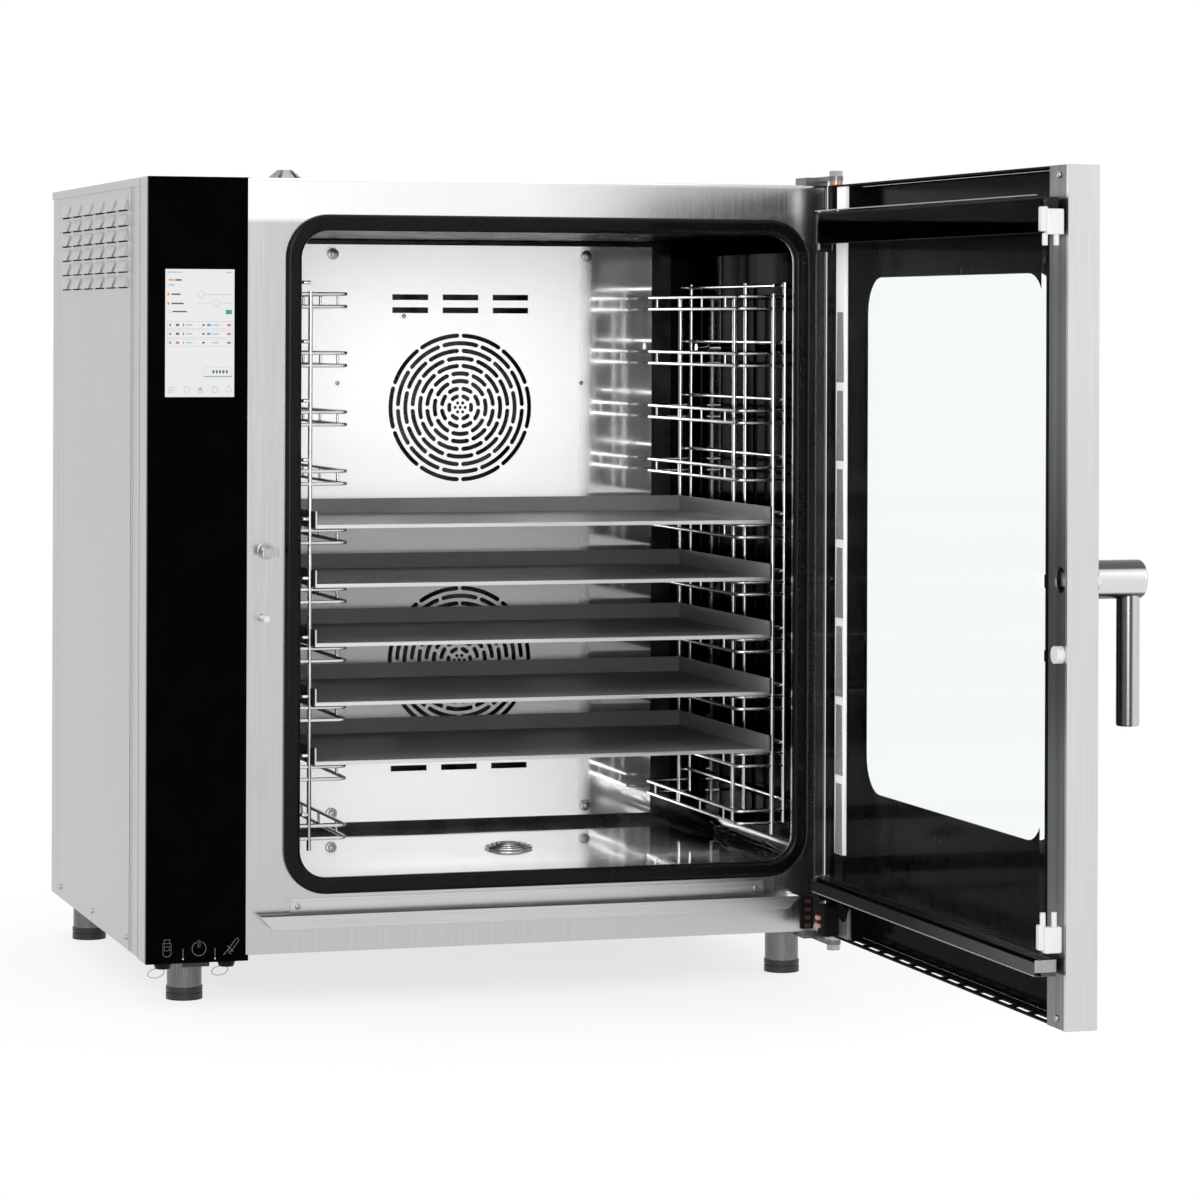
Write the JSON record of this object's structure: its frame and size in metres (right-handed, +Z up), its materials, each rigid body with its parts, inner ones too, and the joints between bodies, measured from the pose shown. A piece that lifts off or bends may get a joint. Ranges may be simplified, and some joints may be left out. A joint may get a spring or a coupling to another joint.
{
  "type": "combi oven",
  "caption": "Countertop electric combi steam oven with open glazed door, turning handle, wire tray racks, baking trays, fan baffle and a tall black control column.",
  "frame": {"origin": "on the floor, midway between the two front feet", "axes": "+X to the oven's right, +Y from the front to the back, +Z up"},
  "size_m": [0.8523, 1.3305, 0.921],
  "materials": {
    "stainless": "brushed",
    "satin_steel": "satin",
    "polished_steel": "polished",
    "bright_wire": "bright",
    "dark_tray": "non-stick coated",
    "gasket_rubber": "matte",
    "black_plastic": "matte",
    "white_plastic": "satin",
    "black_glass": "gloss, printed at the back",
    "door_glass": "clear",
    "board": "satin",
    "mineral_wool": "fibrous",
    "dark_steel": "oxidised",
    "brass_body": "cast",
    "copper_pipe": "drawn"
  },
  "bodies": {
    "oven": {"base_pan": "stainless", "left_side_panel": "stainless", "right_side_panel": "stainless", "top_cover": "stainless", "rear_panel": "stainless", "front_frame": "stainless", "control_housing": "stainless", "drip_gutter": "stainless", "foot_tubes": "stainless", "hinge_brackets": "stainless", "hinge_pins": "satin_steel", "latch_striker": "satin_steel", "cavity_left_wall": "polished_steel", "cavity_right_wall": "polished_steel", "cavity_floor": "polished_steel", "cavity_ceiling": "polished_steel", "cavity_rear_wall": "polished_steel", "fan_baffle": "polished_steel", "rack_left": "bright_wire", "rack_right": "bright_wire", "door_gasket": "gasket_rubber", "foot_ends": "black_plastic", "control_glass": "black_glass", "touch_display": "black_plastic", "power_board": "board", "cooling_fan_frame": "black_plastic", "cavity_insulation": "mineral_wool", "heating_elements": "dark_steel", "fan_motors": "dark_steel", "drain_pipe": "bright_wire", "vent_chimney": "satin_steel", "water_valve": "brass_body", "steam_pipe": "copper_pipe", "cable_gland": "black_plastic", "door_switch": "black_plastic"},
    "cooling_rotor": {"cooling_fan_rotor": "black_plastic"},
    "upper_fan": {"fan_wheel_upper": "polished_steel"},
    "lower_fan": {"fan_wheel_lower": "polished_steel"},
    "strainer": {"drain_strainer": "polished_steel"},
    "switch_plunger": {"door_switch_plunger": "white_plastic"},
    "usb_plug": {"usb_cap": "gasket_rubber"},
    "probe_plug": {"probe_cap": "gasket_rubber"},
    "power_key": {"power_button": "black_plastic"},
    "door": {"door_edge_channel": "stainless", "door_outer_glass": "door_glass", "door_top_plate": "stainless", "door_bottom_plate": "stainless", "door_hinge_post": "stainless", "door_light": "white_plastic", "switch_pad": "white_plastic"},
    "pane": {"inner_pane": "door_glass", "pane_rails": "stainless", "pane_clips": "white_plastic"},
    "handle": {"handle_hub": "satin_steel", "handle_lever": "satin_steel"},
    "baking_tray_1": {"tray_1": "dark_tray"},
    "baking_tray_2": {"tray_2": "dark_tray"},
    "baking_tray_3": {"tray_3": "dark_tray"},
    "baking_tray_4": {"tray_4": "dark_tray"},
    "baking_tray_5": {"tray_5": "dark_tray"}
  },
  "joints": [
    {"name": "door_hinge", "type": "hinge", "parent": "oven", "child": "door", "pos_m": [0.367, -0.1145, 0.475], "axis": [0, 0, 1], "range_deg": [-90, 30]},
    {"name": "handle_turn", "type": "hinge", "parent": "door", "child": "handle", "pos_m": [0.419, -0.7545, 0.491], "axis": [1, 0, 0], "range_deg": [-90, 90]},
    {"name": "pane_swing", "type": "hinge", "parent": "door", "child": "pane", "pos_m": [0.346, -0.1365, 0.485], "axis": [0, 0, -1], "range_deg": [0, 30]},
    {"name": "upper_fan_spin", "type": "hinge", "parent": "oven", "child": "upper_fan", "pos_m": [0.061, 0.3985, 0.637], "axis": [0, 1, 0], "continuous": true},
    {"name": "lower_fan_spin", "type": "hinge", "parent": "oven", "child": "lower_fan", "pos_m": [0.061, 0.3985, 0.333], "axis": [0, 1, 0], "continuous": true},
    {"name": "cooling_fan_spin", "type": "hinge", "parent": "oven", "child": "cooling_rotor", "pos_m": [-0.325, 0.5105, 0.7], "axis": [0, 1, 0], "continuous": true},
    {"name": "strainer_lift", "type": "slide", "parent": "oven", "child": "strainer", "axis": [0, 0, 1], "range_m": [0, 0.03]},
    {"name": "switch_press", "type": "slide", "parent": "oven", "child": "switch_plunger", "axis": [0, 1, 0], "range_m": [0, 0.006], "stiffness_N_per_m": 300},
    {"name": "usb_cap_pull", "type": "slide", "parent": "oven", "child": "usb_plug", "axis": [0, 0, -1], "range_m": [0, 0.02]},
    {"name": "probe_cap_pull", "type": "slide", "parent": "oven", "child": "probe_plug", "axis": [0, 0, -1], "range_m": [0, 0.02]},
    {"name": "power_press", "type": "slide", "parent": "oven", "child": "power_key", "axis": [0, 0, 1], "range_m": [0, 0.003], "stiffness_N_per_m": 400},
    {"name": "tray_1_slide", "type": "slide", "parent": "oven", "child": "baking_tray_1", "axis": [0, -1, 0], "range_m": [0, 0.25]},
    {"name": "tray_2_slide", "type": "slide", "parent": "oven", "child": "baking_tray_2", "axis": [0, -1, 0], "range_m": [0, 0.25]},
    {"name": "tray_3_slide", "type": "slide", "parent": "oven", "child": "baking_tray_3", "axis": [0, -1, 0], "range_m": [0, 0.25]},
    {"name": "tray_4_slide", "type": "slide", "parent": "oven", "child": "baking_tray_4", "axis": [0, -1, 0], "range_m": [0, 0.25]},
    {"name": "tray_5_slide", "type": "slide", "parent": "oven", "child": "baking_tray_5", "axis": [0, -1, 0], "range_m": [0, 0.25]}
  ]
}
